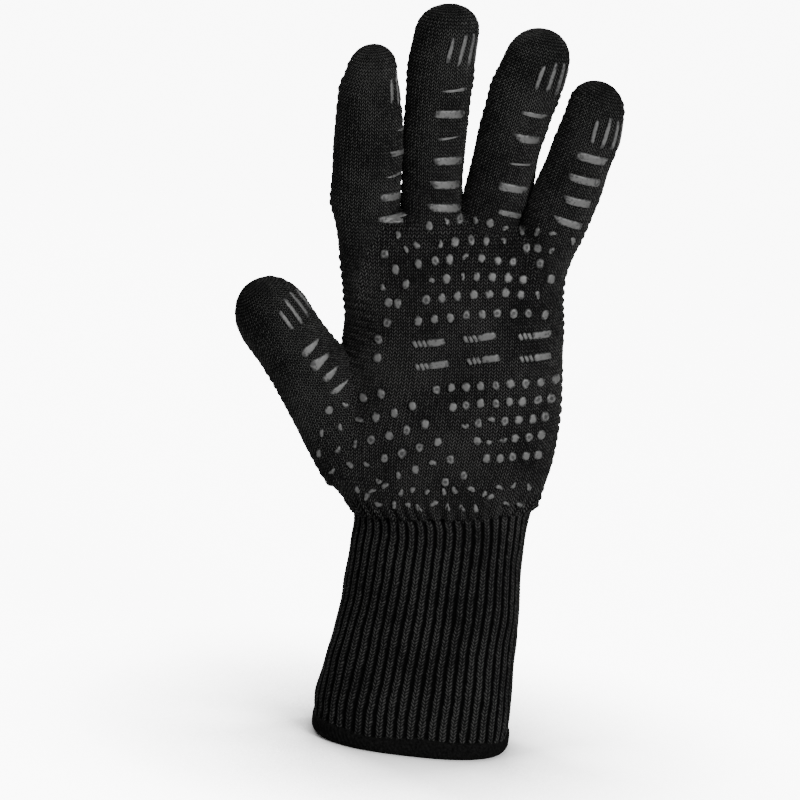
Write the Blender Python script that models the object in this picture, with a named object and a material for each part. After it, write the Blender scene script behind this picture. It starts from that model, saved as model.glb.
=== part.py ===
"""Heat resistant glove, left hand, standing on its cuff: knitted shell, lining, printed grip and cuff.

Metres, +Z up. The origin is on the ground under the middle of the glove's bounding box. The palm faces
-Y, the fingers point up and the thumb points to -X. The knitted shell is cut where the fabric folds, so
that each digit bends at its root and at its middle and the hand bends at the wrist. A crescent of the
same knit, named as a fold, closes the palm side of each cut.
"""

import math
from dataclasses import dataclass

import bmesh
import bpy
from mathutils import Matrix, Vector
from mathutils.bvhtree import BVHTree

MM = 0.001

# Layers, counted inwards from the outside of the shell.
KNIT = 2.2 * MM
LAYER_GAP = 0.4 * MM
LINING = 1.4 * MM
CUFF_KNIT = 3.0 * MM

# Printed silicone stands on the shell.
PRINT_GAP = 0.4 * MM
PRINT = 0.8 * MM
PRINT_HALF_ANGLE = math.radians(35)

# Folds.
GAP = 0.3 * MM
HINGE_TOWARDS_PALM = 3.0 * MM
ROOT_FLEX = math.radians(65)
MIDDLE_FLEX = math.radians(80)
THUMB_ROOT_FLEX = math.radians(35)
THUMB_MIDDLE_FLEX = math.radians(45)
BACKWARD_BEND = math.radians(10)
WRIST_BEND = math.radians(30)
WRIST_Z = 100 * MM
FOLD_APEX = 1.8 * MM

# Hem.
HEM_HEIGHT = 9 * MM
HEM_FLOOR = 2.0 * MM
HEM_WALL = 1.5 * MM

MERGE = 0.003 * MM
DIGIT_SIDES = 20
LINING_SIDES = 16
BODY_SIDES = 36
DOME_RINGS = 4

# Height, middle in X, half width and half depth of the hand between wrist and finger roots, in mm.
HAND_SECTIONS = (
    (100, 2.9, 39.3, 26.0),
    (108, 2.0, 40.2, 26.3),
    (116, -0.8, 43.8, 26.8),
    (126, -1.0, 47.6, 27.2),
    (138, -0.5, 50.6, 27.2),
    (152, 0.0, 51.4, 26.6),
    (175, -0.8, 50.8, 25.2),
    (196, -1.3, 50.8, 24.2),
    (212, -3.8, 50.2, 22.8),
    (226, -5.2, 51.2, 21.4),
    (235, -5.0, 52.0, 19.2),
    (241, -5.5, 51.5, 15.0),
    (244.5, -5.5, 49.5, 9.0),
)
# The same for the cuff, from the hem to the wrist.
CUFF_SECTIONS = (
    (2.3, 0.0, 43.4, 31.5),
    (11, 0.0, 43.4, 31.5),
    (18, -0.3, 43.8, 31.2),
    (40, 0.7, 42.6, 29.8),
    (64, 2.2, 40.6, 28.2),
    (88, 2.4, 39.4, 26.8),
    (100, 2.9, 39.3, 26.0),
)
HAND_ROUNDNESS = 2.4
CUFF_ROUNDNESS = 2.3

COLOURS = {
    "knit": (0.018, 0.018, 0.020),
    "rib": (0.014, 0.014, 0.016),
    "lining": (0.055, 0.055, 0.058),
    "hem": (0.010, 0.010, 0.011),
    "grip": (0.20, 0.20, 0.20),
}


@dataclass(frozen=True)
class Digit:
    """A finger or the thumb. Its axis runs from root to tip, and it bends towards its pad.

    Inside pairs a distance below the root with the half width there. Print turn is how far round from
    the palm's own facing the printed bars sit, because the knitted tube stands a little twisted.
    """

    name: str
    root: Vector
    tip: Vector
    half_width_root: float
    half_width: float
    half_depth: float
    pad_turn: float
    print_turn: float
    middle: float
    inside: tuple = ((-36 * MM, 12.0 * MM),)
    root_flex: float = ROOT_FLEX
    middle_flex: float = MIDDLE_FLEX
    root_hinge: float = 9 * MM

    @property
    def axis(self):
        return (self.tip - self.root).normalized()

    @property
    def length(self):
        return (self.tip - self.root).length

    @property
    def pad(self):
        facing = Vector((math.sin(self.pad_turn), -math.cos(self.pad_turn), 0))
        return (facing - facing.dot(self.axis) * self.axis).normalized()

    @property
    def across(self):
        """The hinge direction: a right-handed turn about it bends the digit towards its pad."""
        return self.axis.cross(self.pad).normalized()

    def hinge(self, along):
        return self.root + self.axis * along + self.pad * HINGE_TOWARDS_PALM


def mm(*numbers):
    return Vector(numbers) * MM


def turn(degrees):
    return math.radians(degrees)


DIGITS = (
    Digit("index", mm(-47.5, -3, 244), mm(-53.0, -10, 320), 14.8 * MM, 14.5 * MM, 13.6 * MM,
          turn(-1), turn(52), 38 * MM, ((-36 * MM, 7 * MM),)),
    Digit("middle", mm(-16.8, 0, 246), mm(-19.6, -6, 341), 12.8 * MM, 15.2 * MM, 13.8 * MM,
          turn(-1.5), turn(31), 46 * MM),
    Digit("ring", mm(9.4, 0, 246), mm(24.0, -8, 335), 12.3 * MM, 15.1 * MM, 13.8 * MM,
          turn(4.5), turn(29), 44 * MM),
    Digit("little", mm(38.0, -5, 244), mm(53.6, -13, 314), 12.6 * MM, 14.0 * MM, 13.0 * MM,
          turn(9), turn(21), 36 * MM, ((-36 * MM, 9 * MM),)),
    Digit("thumb", mm(-63.8, -9, 169.5), mm(-96.5, -16, 206), 17.6 * MM, 17.8 * MM, 15.0 * MM,
          turn(22), turn(24), 27 * MM, ((-62 * MM, 13 * MM), (-40 * MM, 20.5 * MM)),
          THUMB_ROOT_FLEX, THUMB_MIDDLE_FLEX, 7 * MM),
)


def clear_scene():
    for item in list(bpy.data.objects):
        bpy.data.objects.remove(item)


def material(name):
    made = bpy.data.materials.get(name)
    if made is None:
        made = bpy.data.materials.new(name)
        made.use_nodes = True
        shader = made.node_tree.nodes["Principled BSDF"]
        shader.inputs["Base Color"].default_value = (*COLOURS[name], 1)
        shader.inputs["Roughness"].default_value = 0.55 if name == "grip" else 0.95
        shader.inputs["Metallic"].default_value = 0
    return made


def object_from(name, mesh, colour=None):
    item = bpy.data.objects.new(name, mesh)
    bpy.context.scene.collection.objects.link(item)
    if colour:
        mesh.materials.clear()
        mesh.materials.append(material(colour))
    return item


def ring(centre, across, towards, half_across, half_towards, sides, roundness=2.0):
    """Points round a superellipse; roundness 2 is an ellipse."""
    points = []
    for i in range(sides):
        angle = math.tau * (i + 0.5) / sides
        c, s = math.cos(angle), math.sin(angle)
        u = math.copysign(abs(c) ** (2 / roundness), c) * half_across
        v = math.copysign(abs(s) ** (2 / roundness), s) * half_towards
        points.append(centre + across * u + towards * v)
    return points


def loft(name, rings):
    """A closed solid through rings of equal length, with flat ends."""
    shape = bmesh.new()
    rows = [[shape.verts.new(p) for p in points] for points in rings]
    for low, high in zip(rows, rows[1:]):
        for i, vert in enumerate(low):
            j = (i + 1) % len(low)
            shape.faces.new((vert, low[j], high[j], high[i]))
    shape.faces.new(reversed(rows[0]))
    shape.faces.new(rows[-1])
    bmesh.ops.recalc_face_normals(shape, faces=shape.faces)
    mesh = bpy.data.meshes.new(name)
    shape.to_mesh(mesh)
    shape.free()
    return object_from(name, mesh)


def upright_loft(name, sections, inset, roundness, lengthen=0.0, lower_top=0.0):
    """The hand or the cuff, shrunk by inset all round; lengthen pushes out the bottom end."""
    rings = []
    last = len(sections) - 1
    for i, (z, x, half_width, half_depth) in enumerate(sections):
        height = z * MM - (lengthen if i == 0 else 0) - lower_top * (i == last)
        if lower_top and i < last:
            height = min(height, sections[last][0] * MM - lower_top - (last - i) * MM)
        rings.append(ring(Vector((x * MM, 0, height)), Vector((1, 0, 0)), Vector((0, 1, 0)),
                          half_width * MM - inset, max(half_depth * MM - inset, 2 * MM),
                          BODY_SIDES, roundness))
    return loft(name, rings)


def digit_loft(name, digit, inset, sides, longer=0.0):
    """A digit's tube from inside the hand to its domed tip, shrunk by inset and longer at its base."""
    end = digit.length - digit.half_depth
    (deepest, deepest_width), *others = digit.inside
    stations = [(deepest - longer, deepest_width), *others, (0.0, digit.half_width_root),
                (digit.middle * 0.6, digit.half_width), (end, digit.half_width)]
    rings = [ring(digit.root + digit.axis * s, digit.across, digit.pad, width - inset,
                  digit.half_depth - inset, sides) for s, width in stations]
    for i in range(1, DOME_RINGS + 1):
        angle = math.radians(82) * i / DOME_RINGS
        rise = (digit.half_depth - inset) * math.sin(angle)
        share = math.cos(angle)
        rings.append(ring(digit.root + digit.axis * (end + rise), digit.across, digit.pad,
                          (digit.half_width - inset) * share, (digit.half_depth - inset) * share,
                          sides))
    return loft(name, rings)


def prism(name, corner, along, towards, across, outline, half_width):
    """A straight-sided solid: outline is (along, towards) pairs, half_width its reach across."""
    ends = [[corner + along * s + towards * q + across * w for s, q in outline]
            for w in (-half_width, half_width)]
    return loft(name, ends)


def combine(target, tool, operation):
    """Applies one Boolean to target's mesh and removes the tool."""
    step = target.modifiers.new(operation, "BOOLEAN")
    step.operation = operation
    step.solver = "EXACT"
    step.object = tool
    bpy.context.view_layer.update()
    graph = bpy.context.evaluated_depsgraph_get()
    made = bpy.data.meshes.new_from_object(target.evaluated_get(graph))
    target.modifiers.clear()
    target.data = made
    bpy.data.objects.remove(tool)
    return target


def copy_of(item, name):
    return object_from(name, item.data.copy())


def finish(item, name, colour):
    """Names a finished solid, gives it its material and merges points that a Boolean left together."""
    shape = bmesh.new()
    shape.from_mesh(item.data)
    bmesh.ops.remove_doubles(shape, verts=shape.verts, dist=MERGE)
    shape.to_mesh(item.data)
    shape.free()
    item.name = name
    item.data.name = name
    item.data.materials.clear()
    item.data.materials.append(material(colour))
    item.data.shade_smooth()
    item.data.set_sharp_from_angle(angle=math.radians(40))
    return item


def flare(flex):
    return math.tan(flex / 2)


def beyond_cut(name, digit, along, flex, bend_back):
    """The space past a fold's lower side, which the piece below the fold gives up."""
    reach, far = 60 * MM, 90 * MM
    outline = [(-GAP / 2 - reach * flare(bend_back), -reach), (-GAP / 2, 0),
               (-GAP / 2 - reach * flare(flex), reach), (far, reach), (far, -reach)]
    return prism(name, digit.hinge(along), digit.axis, digit.pad, digit.across, outline,
                 digit.half_width + 2 * MM)


def between_cuts(name, digit, low, low_flex, low_back, high=None, high_flex=0.0):
    """The space that one segment keeps: above the fold at low and below the one at high."""
    reach = 40 * MM
    top = (high - low) if high else digit.length
    outline = [(GAP / 2 + reach * flare(low_back), -reach), (GAP / 2, 0),
               (GAP / 2 + reach * flare(low_flex), reach)]
    if high:
        slope = flare(high_flex)
        room = (top - GAP) / (flare(low_flex) + slope)
        if room < reach:  # the two cuts would cross beyond the digit's own depth
            outline[2] = (GAP / 2 + room * flare(low_flex) * 0.98, room * 0.98)
            outline.append((top - GAP / 2 - room * slope * 0.98, room * 0.98))
        else:
            outline.append((top - GAP / 2 - reach * slope, reach))
        outline += [(top - GAP / 2, 0), (top - GAP / 2, -reach)]
    else:
        outline += [(top, reach), (top, -reach)]
    return prism(name, digit.hinge(low), digit.axis, digit.pad, digit.across, outline,
                 digit.half_width + 3 * MM)


def fold_wedge(name, digit, along, flex):
    """The wedge between the two sides of a fold, with its apex cut off."""
    reach = 30 * MM
    trim = GAP * 1.5
    outline = [(-(FOLD_APEX * flare(flex)) + trim / 2, FOLD_APEX),
               (FOLD_APEX * flare(flex) - trim / 2, FOLD_APEX),
               (reach * flare(flex) - trim, reach), (-reach * flare(flex) + trim, reach)]
    return prism(name, digit.hinge(along), digit.axis, digit.pad, digit.across, outline,
                 digit.half_width + 3 * MM)


def digit_shell(name, digit, outer, thickness, sides):
    wall = digit_loft(name, digit, outer, sides)
    hollow = digit_loft(name + "_hollow", digit, outer + thickness, sides, longer=1 * MM)
    return combine(wall, hollow, "DIFFERENCE")


def build_digit(digit):
    """Both segments of a digit in knit and lining, and the folds at its root and its middle."""
    root, middle = digit.root_hinge, digit.middle
    layers = (("knit", 0.0, KNIT, DIGIT_SIDES, "knit"),
              ("lining", KNIT + LAYER_GAP, LINING, LINING_SIDES, "lining"))
    for layer, outer, thickness, sides, colour in layers:
        shell = digit_shell(f"{digit.name}_{layer}", digit, outer, thickness, sides)
        segments = (
            ("root", between_cuts("cut", digit, root, digit.root_flex, BACKWARD_BEND, middle,
                                  digit.middle_flex)),
            ("tip", between_cuts("cut", digit, middle, digit.middle_flex, 0.0)),
        )
        for part, space in segments:
            piece = combine(copy_of(shell, "piece"), space, "INTERSECT")
            finish(piece, f"{digit.name}_{part}_{layer}", colour)
        if layer == "knit":
            folds = (("root", root, digit.root_flex), ("middle", middle, digit.middle_flex))
            for part, along, flex in folds:
                wedge = fold_wedge("cut", digit, along, flex)
                piece = combine(copy_of(shell, "piece"), wedge, "INTERSECT")
                finish(piece, f"{digit.name}_{part}_fold", "knit")
        bpy.data.objects.remove(shell)


def wrist_prism(name, outline):
    """Outline is (height above the wrist hinge, depth) pairs."""
    return prism(name, Vector((0, 0, WRIST_Z)), Vector((0, 0, 1)), Vector((0, 1, 0)),
                 Vector((1, 0, 0)), outline, 90 * MM)


def hand_solid(name, inset, sides):
    """The hand with all five digits joined on, shrunk by inset."""
    whole = upright_loft(name, HAND_SECTIONS, inset, HAND_ROUNDNESS, lengthen=20 * MM,
                         lower_top=inset)
    for digit in DIGITS:
        combine(whole, digit_loft("digit", digit, inset, sides), "UNION")
    return whole


def cut_hand(whole):
    """Takes the digits off at their root folds, and the wrist off at its own."""
    for digit in DIGITS:
        cut = beyond_cut("cut", digit, digit.root_hinge, digit.root_flex, BACKWARD_BEND)
        combine(whole, cut, "DIFFERENCE")
    deep = 60 * MM
    rise = deep * flare(WRIST_BEND)
    below = [(GAP / 2 + rise, -deep), (GAP / 2, 0), (GAP / 2 + rise, deep), (-60 * MM, deep),
             (-60 * MM, -deep)]
    return combine(whole, wrist_prism("cut", below), "DIFFERENCE")


def build_hand():
    """The knitted hand, and its lining."""
    layers = (("knit", 0.0, KNIT, DIGIT_SIDES), ("lining", KNIT + LAYER_GAP, LINING, LINING_SIDES))
    for layer, outer, thickness, sides in layers:
        shell = cut_hand(hand_solid("hand", outer, sides))
        combine(shell, hand_solid("hollow", outer + thickness, sides), "DIFFERENCE")
        finish(shell, f"hand_{layer}", layer)


def build_cuff():
    """The ribbed cuff, its hem binding and the two folds at the wrist."""
    wall = upright_loft("cuff", CUFF_SECTIONS, 0.0, CUFF_ROUNDNESS)
    hollow = upright_loft("hollow", CUFF_SECTIONS, CUFF_KNIT, CUFF_ROUNDNESS, lengthen=5 * MM)
    hollow.location.z = 1 * MM
    combine(wall, hollow, "DIFFERENCE")
    deep = 60 * MM
    fall = deep * flare(WRIST_BEND)
    above = [(-GAP / 2 - fall, -deep), (-GAP / 2, 0), (-GAP / 2 - fall, deep), (60 * MM, deep),
             (60 * MM, -deep)]
    finish(combine(wall, wrist_prism("cut", above), "DIFFERENCE"), "cuff_rib_knit", "rib")
    build_wrist_folds()
    build_hem()


def build_wrist_folds():
    """Crescents of knit that close the front and the back of the wrist's cut."""
    sections = [(z, x, w, d) for z, x, w, d in CUFF_SECTIONS if z > 60]
    sections += [(z, x, w, d) for z, x, w, d in HAND_SECTIONS if 100 < z < 130]
    ends = [(sections[0][0] - 1, *sections[0][1:])] + sections[1:-1]
    ends.append((sections[-1][0] + 1, *sections[-1][1:]))
    for side, sign in (("front", -1), ("back", 1)):
        tube = upright_loft("tube", sections, 0.0, HAND_ROUNDNESS)
        combine(tube, upright_loft("hollow", ends, KNIT, HAND_ROUNDNESS), "DIFFERENCE")
        deep = 50 * MM
        edge = 4 * MM
        slope = flare(WRIST_BEND)
        trim = GAP * 1.5
        outline = [(-edge * slope + trim, sign * edge), (edge * slope - trim, sign * edge),
                   (deep * slope - trim, sign * deep), (-deep * slope + trim, sign * deep)]
        piece = combine(tube, wrist_prism("cut", outline), "INTERSECT")
        finish(piece, f"wrist_{side}_fold", "rib")


def build_hem():
    """A binding of U section round the cuff's lower edge."""
    _, x, half_width, half_depth = CUFF_SECTIONS[0]
    shift = Vector((x * MM, 0, 0))
    side = (Vector((1, 0, 0)), Vector((0, 1, 0)))

    def band(name, grow, low, high):
        rings = [ring(shift + Vector((0, 0, z)), *side, half_width * MM + grow,
                      half_depth * MM + grow, BODY_SIDES, CUFF_ROUNDNESS) for z in (low, high)]
        return loft(name, rings)

    outer = GAP + HEM_WALL
    inner = -CUFF_KNIT - GAP - HEM_WALL
    hem = band("hem", outer, 0, HEM_HEIGHT)
    combine(hem, band("bore", inner, -1 * MM, HEM_HEIGHT + 1 * MM), "DIFFERENCE")
    channel = band("channel", GAP, HEM_FLOOR, HEM_HEIGHT + 1 * MM)
    combine(channel, band("core", -CUFF_KNIT - GAP, 0, HEM_HEIGHT + 2 * MM), "DIFFERENCE")
    finish(combine(hem, channel, "DIFFERENCE"), "cuff_hem_binding", "hem")


def patch(name, place, rows, columns):
    """A thin solid over a grid of places: place(row share, column share, lift) gives a point."""
    shape = bmesh.new()
    sheets = [[[shape.verts.new(place(i / rows, j / columns, lift)) for j in range(columns + 1)]
               for i in range(rows + 1)] for lift in (PRINT_GAP, PRINT_GAP + PRINT)]
    for sheet in sheets:
        for i in range(rows):
            for j in range(columns):
                shape.faces.new((sheet[i][j], sheet[i][j + 1], sheet[i + 1][j + 1],
                                 sheet[i + 1][j]))
    rim = [(0, j) for j in range(columns)] + [(i, columns) for i in range(rows)]
    rim += [(rows, j) for j in range(columns, 0, -1)] + [(i, 0) for i in range(rows, 0, -1)]
    for (a, b), (c, d) in zip(rim, rim[1:] + rim[:1]):
        shape.faces.new((sheets[0][a][b], sheets[0][c][d], sheets[1][c][d], sheets[1][a][b]))
    bmesh.ops.recalc_face_normals(shape, faces=shape.faces)
    mesh = bpy.data.meshes.new(name)
    shape.to_mesh(mesh)
    shape.free()
    return finish(object_from(name, mesh), name, "grip")


def build_digit_grips(digit):
    """The printed bars on each segment's pad, as one thin curved patch a segment."""

    def place(low, high):
        def point(row, column, lift):
            s = low + (high - low) * row
            angle = digit.print_turn - digit.pad_turn + PRINT_HALF_ANGLE * (2 * column - 1)
            blend = min(max(s / (digit.middle * 0.6), 0), 1)
            width = digit.half_width_root + (digit.half_width - digit.half_width_root) * blend
            depth = digit.half_depth
            end = digit.length - digit.half_depth
            share = 1.0
            if s > end:
                share = math.sqrt(max(1 - ((s - end) / digit.half_depth) ** 2, 0))
            across = (width * share + lift) * math.sin(angle)
            towards = (depth * share + lift) * math.cos(angle)
            return digit.root + digit.axis * s + digit.across * across + digit.pad * towards
        return point

    reach = digit.half_depth - HINGE_TOWARDS_PALM
    root_low = digit.root_hinge + reach * flare(digit.root_flex) + 2.5 * MM
    root_high = digit.middle - reach * flare(digit.middle_flex) - 2.5 * MM
    tip_low = digit.middle + reach * flare(digit.middle_flex) + 2.5 * MM
    tip_high = digit.length - digit.half_depth + 0.55 * digit.half_depth
    patch(f"{digit.name}_root_grip", place(root_low, root_high), 2, 8)
    patch(f"{digit.name}_tip_grip", place(tip_low, tip_high), 8, 8)


def build_palm_grips():
    """The printed fields on the palm, each as one thin curved patch laid on the knitted hand."""
    hand = bpy.data.objects["hand_knit"]
    skin = BVHTree.FromPolygons([v.co for v in hand.data.vertices],
                                [p.vertices[:] for p in hand.data.polygons])
    clear = 0.6 * MM  # flat facets of the hand stand out past the chords of a patch
    fields = (
        ("palm_upper_dot_grip", -24, 42, 199, 228),
        ("palm_bar_grip", -20, 42, 177, 194),
        ("palm_lower_dot_grip", -5, 42, 134, 173),
        ("thumb_base_dot_grip", -34, -9, 132, 162),
        ("wrist_dot_grip", -26, 34, 114, 128),
    )
    for name, left, right, low, high in fields:
        def place(row, column, lift, box=(left, right, low, high)):
            x = (box[0] + (box[1] - box[0]) * column) * MM
            z = (box[2] + (box[3] - box[2]) * row) * MM
            found = skin.ray_cast(Vector((x, -100 * MM, z)), Vector((0, 1, 0)))[0]
            return Vector((x, found.y - clear - lift, z))
        patch(name, place, 4, 10)


def stand_over_origin():
    """Moves everything so that the origin is under the middle of the bounding box."""
    solids = [item for item in bpy.data.objects if item.type == "MESH"]
    points = [v.co for item in solids for v in item.data.vertices]
    low = Vector(min(p[i] for p in points) for i in range(3))
    high = Vector(max(p[i] for p in points) for i in range(3))
    shift = Vector((-(low.x + high.x) / 2, -(low.y + high.y) / 2, -low.z))
    for item in solids:
        item.data.transform(Matrix.Translation(shift))
    return shift


def build():
    clear_scene()
    build_cuff()
    build_hand()
    for digit in DIGITS:
        build_digit(digit)
        build_digit_grips(digit)
    build_palm_grips()
    return stand_over_origin()


build()
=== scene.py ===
import logging
import math
from dataclasses import dataclass, field
from enum import Enum

import bpy
import numpy as np
from mathutils import Matrix, Vector


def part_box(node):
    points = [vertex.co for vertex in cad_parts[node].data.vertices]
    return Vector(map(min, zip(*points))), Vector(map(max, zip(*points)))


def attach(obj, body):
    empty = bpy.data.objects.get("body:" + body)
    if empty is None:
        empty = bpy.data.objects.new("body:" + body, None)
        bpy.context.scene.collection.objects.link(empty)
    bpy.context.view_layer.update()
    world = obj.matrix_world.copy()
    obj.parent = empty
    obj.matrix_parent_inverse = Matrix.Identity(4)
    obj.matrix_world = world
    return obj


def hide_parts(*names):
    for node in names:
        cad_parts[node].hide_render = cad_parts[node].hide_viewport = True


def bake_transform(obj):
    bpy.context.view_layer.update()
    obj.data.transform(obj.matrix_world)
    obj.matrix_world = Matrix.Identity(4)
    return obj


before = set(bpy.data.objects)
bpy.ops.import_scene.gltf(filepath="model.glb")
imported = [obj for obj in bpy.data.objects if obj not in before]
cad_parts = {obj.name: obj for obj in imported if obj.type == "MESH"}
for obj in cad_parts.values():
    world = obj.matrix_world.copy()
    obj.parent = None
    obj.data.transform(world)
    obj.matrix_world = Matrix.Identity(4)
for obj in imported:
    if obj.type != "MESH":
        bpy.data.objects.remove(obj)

LOG = logging.getLogger("glove")
MM = 0.001
ROWS_A_COURSE = 3
COLUMNS_A_WALE = 6
COURSE = 1.55  # mm, height of a plain stitch
STITCH_RISE = 0.7  # mm, how far a plain stitch stands on the form
PLAIN_LEAN, RIB_LEAN = 2.2, 3.0  # courses that a leg of yarn would lean over a whole wale
SINK, SINK_OVER = 1.3, 1.6  # mm, how deep knit dips where it runs on under another piece, and how soon
RUN_ON = 2.4  # mm, how far it runs on there
DOME = math.pi / 2 * 0.985  # how far round a digit's end the knit goes before a last face closes it
PRINT_TILT = math.radians(6.5)  # the print and the courses rise towards the little finger


class Side(Enum):
    """The two faces of the hand."""

    PALM = -1
    BACK = 1


class Weave(Enum):
    """How the yarn is knitted."""

    PLAIN = "plain"
    RIB = "rib"


def smooth(t: np.ndarray) -> np.ndarray:
    """Returns an eased step from 0 to 1 as t goes from 0 to 1."""
    t = np.clip(t, 0.0, 1.0)
    return t * t * (3 - 2 * t)


def soft_union(a: np.ndarray, b: np.ndarray, width: float) -> np.ndarray:
    """Joins two distance fields with a fillet.

    Args:
        a: One field.
        b: The other field.
        width: How far apart the fields still melt into each other, in mm.

    Returns:
        The joined field.
    """
    h = np.maximum(width - np.abs(a - b), 0.0) / width
    return np.minimum(a, b) - h * h * width * 0.25


def swell(values: np.ndarray, power: float) -> np.ndarray:
    """Raises the size of each value to a power, which turns a circle into a superellipse."""
    return np.sign(values) * np.abs(values) ** power


def outside(length: np.ndarray, share: np.ndarray) -> np.ndarray:
    """Returns the distance past an ellipse, from the distance to its middle and that over its own radius."""
    return length * (1 - 1 / np.maximum(share, 0.02))


@dataclass
class Digit:
    """A finger or the thumb as a smooth tube, in mm, in the hand's own frame.

    Distances along it are from its root towards its tip. Widths are pairs of such a distance and the half
    width there. A zone is the stretch that bends at a joint. Turns are in degrees from straight ahead.
    """

    name: str
    root: tuple
    tip: tuple
    widths: tuple
    half_depth: float
    pad_turn: float
    print_turn: float
    sway: float
    tip_skew: float
    root_zone: tuple
    middle_zone: tuple
    first_bar: float
    bar_pitch: float
    bar_fullness: tuple
    bar_length: float
    bar_taper: float = 0.0
    wales: int = 46
    deepest: float = -32.0

    def __post_init__(self) -> None:
        """Works out the directions that the rest of the class measures along."""
        self.start = np.array(self.root, float)
        line = np.array(self.tip, float) - self.start
        self.length = float(np.linalg.norm(line))
        self.axis = line / self.length
        facing = np.array([math.sin(math.radians(self.pad_turn)), -math.cos(math.radians(self.pad_turn)), 0])
        pad = facing - facing @ self.axis * self.axis
        self.pad = pad / np.linalg.norm(pad)
        self.across = np.cross(self.axis, self.pad)
        self.end = self.length - self.half_depth
        self.split = (self.root_zone[1] + self.middle_zone[0]) / 2

    def half_width(self, along: np.ndarray) -> np.ndarray:
        """Returns the half width at each distance along."""
        stations, values = zip(*self.widths)
        return np.interp(along, stations, values)

    def drift(self, along: np.ndarray) -> np.ndarray:
        """Returns how far the middle line lies to one side of the straight axis."""
        share = np.clip(along / self.length, 0, 1)
        return self.sway * np.sin(math.pi * share) + self.tip_skew * smooth((share - 0.7) / 0.3)

    def centre(self, along: np.ndarray) -> np.ndarray:
        """Returns points on the middle line."""
        along = np.asarray(along, float)[..., None]
        return self.start + self.axis * along + self.across * self.drift(along)

    def distance(self, points: np.ndarray) -> np.ndarray:
        """Returns how far each point is outside the tube."""
        rel = points - self.start
        along = rel @ self.axis
        side = rel @ self.across - self.drift(along)
        front = rel @ self.pad
        over = np.maximum(along - self.end, 0) + np.maximum(self.widths[0][0] - along, 0)
        width = self.half_width(along)
        share = np.sqrt((side / width) ** 2 + (front / self.half_depth) ** 2 + (over / self.half_depth) ** 2)
        return outside(np.sqrt(side ** 2 + front ** 2 + over ** 2), share)


DIGITS = (
    Digit("index", (-47.5, -3, 244), (-53.0, -10, 320),
          ((-36, 4), (-20, 8), (-6, 12.6), (4, 15.4), (30, 15.2), (46, 14.6), (56, 12.9), (63, 10.6)),
          half_depth=13.4, pad_turn=-1, print_turn=60, sway=0.8, tip_skew=2.6, root_zone=(-4, 21),
          middle_zone=(24, 52), first_bar=37.6, bar_pitch=10.1, bar_fullness=(0.4, 0.7, 0.45, 1.0, 1.0),
          bar_length=7.6),
    Digit("middle", (-16.8, 0, 246), (-19.6, -6, 341),
          ((-36, 7), (0, 13.2), (28, 13.7), (45, 13.9), (62, 14.6), (84, 13.6)),
          half_depth=13.4, pad_turn=-1.5, print_turn=25, sway=-2.0, tip_skew=1.2, root_zone=(-4, 21),
          middle_zone=(31, 60), first_bar=36.8, bar_pitch=10.7, bar_fullness=(0.5, 1.0, 0.35, 1.0, 1.0, 1.0),
          bar_length=8.9),
    Digit("ring", (9.4, 0, 246), (24.0, -8, 335),
          ((-36, 7), (0, 13.6), (14, 14.6), (40, 14.2), (60, 15.0), (80, 13.6)),
          half_depth=13.4, pad_turn=4.5, print_turn=28, sway=-1.0, tip_skew=0.6, root_zone=(-4, 21),
          middle_zone=(29, 58), first_bar=36.5, bar_pitch=11.6, bar_fullness=(0.6, 1.0, 0.4, 1.0, 0.7),
          bar_length=7.9),
    Digit("little", (38.0, -5, 244), (53.6, -13, 314),
          ((-36, 5), (-10, 11), (0, 13.6), (20, 14.4), (50, 13.4), (60, 12.2)),
          half_depth=12.8, pad_turn=9, print_turn=22, sway=0.2, tip_skew=-0.8, root_zone=(-3, 20),
          middle_zone=(22, 49), first_bar=31.8, bar_pitch=10.3, bar_fullness=(1.0, 1.0, 1.0, 0.9),
          bar_length=8.2),
    Digit("thumb", (-63.8, -9, 169.5), (-95.0, -16, 206.5),
          ((-62, 15), (-48, 23), (-26, 21.2), (-8, 18.2), (6, 16.6), (16, 16.2), (30, 16.6), (42, 14.4)),
          half_depth=14.8, pad_turn=22, print_turn=38, sway=0.6, tip_skew=1.6, root_zone=(-4, 16),
          middle_zone=(18.5, 36), first_bar=36.9, bar_pitch=7.7, bar_fullness=(0.8, 0.95, 0.75, 0.6),
          bar_length=6.2, bar_taper=0.55, wales=56, deepest=-58.0),
)


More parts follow.
